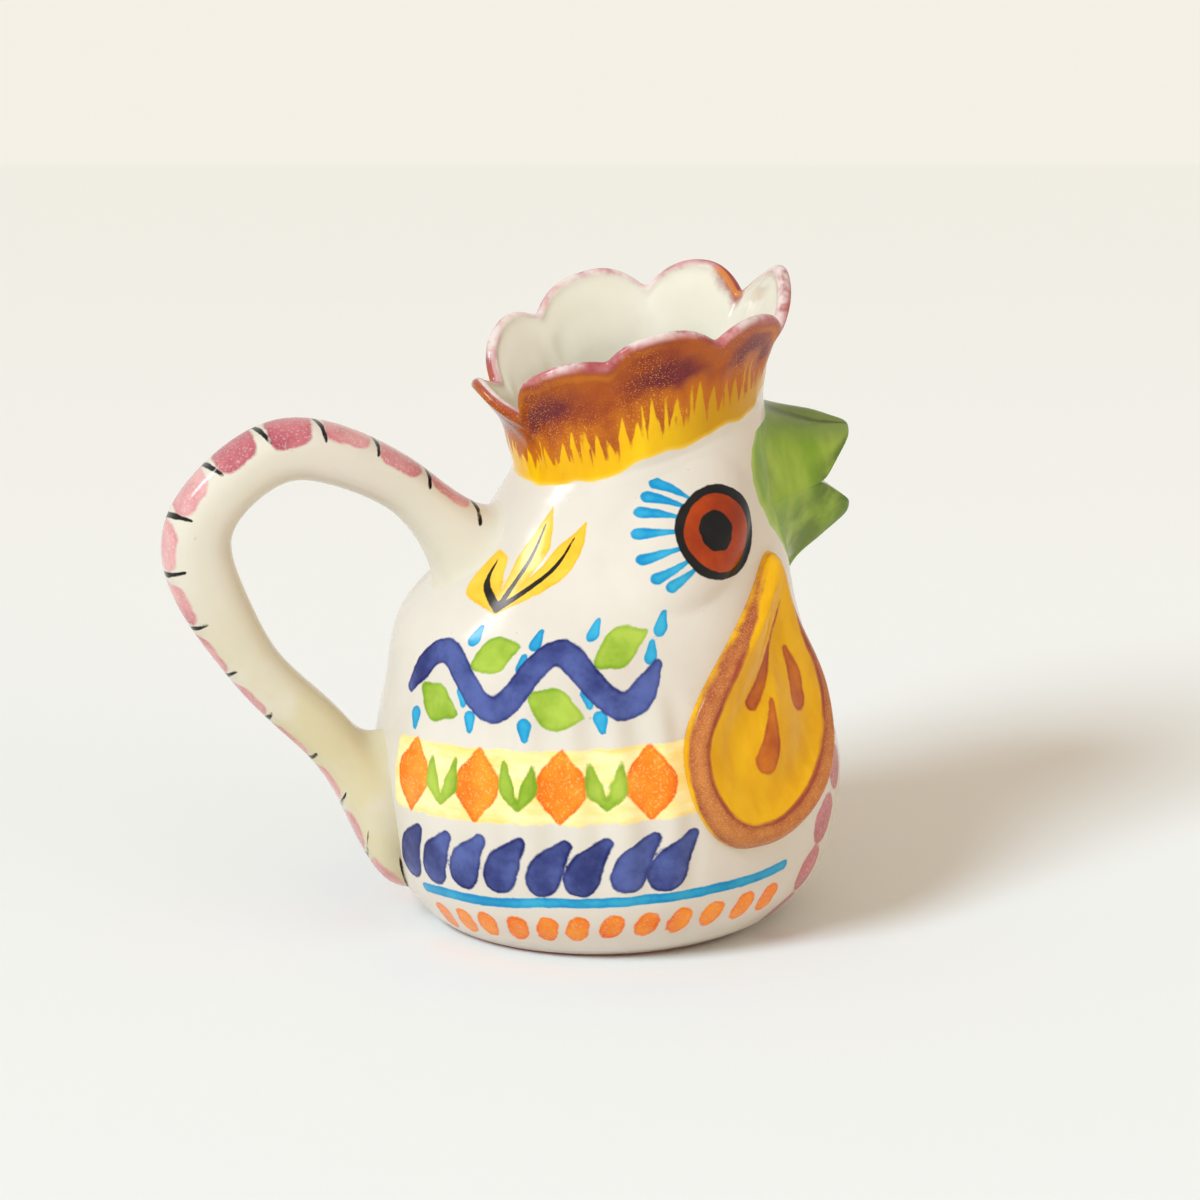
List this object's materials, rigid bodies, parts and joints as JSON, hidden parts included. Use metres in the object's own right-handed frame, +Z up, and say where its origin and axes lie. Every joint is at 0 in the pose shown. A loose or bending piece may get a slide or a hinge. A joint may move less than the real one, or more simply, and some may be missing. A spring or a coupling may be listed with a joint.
{
  "type": "chicken pitcher",
  "caption": "Glazed earthenware pitcher shaped as a hen, with a ruffled comb as its mouth and pouring lip, a beak, wattles, eye bosses and a loop handle for carrying and pouring.",
  "frame": {"origin": "middle of the flat underside, on the surface that the pitcher stands on", "axes": "+X the way the beak points, away from the handle; +Y the bird's left; +Z up"},
  "size_m": [0.2049, 0.1446, 0.1909],
  "materials": {
    "white_glaze": "gloss",
    "comb_glaze": "gloss",
    "beak_glaze": "gloss",
    "wattle_glaze": "gloss",
    "bare_clay": "matte"
  },
  "bodies": {
    "root": {"floor_slab": "bare_clay", "body_wall": "white_glaze", "comb_collar": "comb_glaze", "pulled_handle": "white_glaze", "upper_beak": "beak_glaze", "lower_beak": "beak_glaze", "right_wattle": "wattle_glaze", "left_wattle": "wattle_glaze", "right_eye_pad": "white_glaze", "left_eye_pad": "white_glaze"}
  },
  "joints": []
}
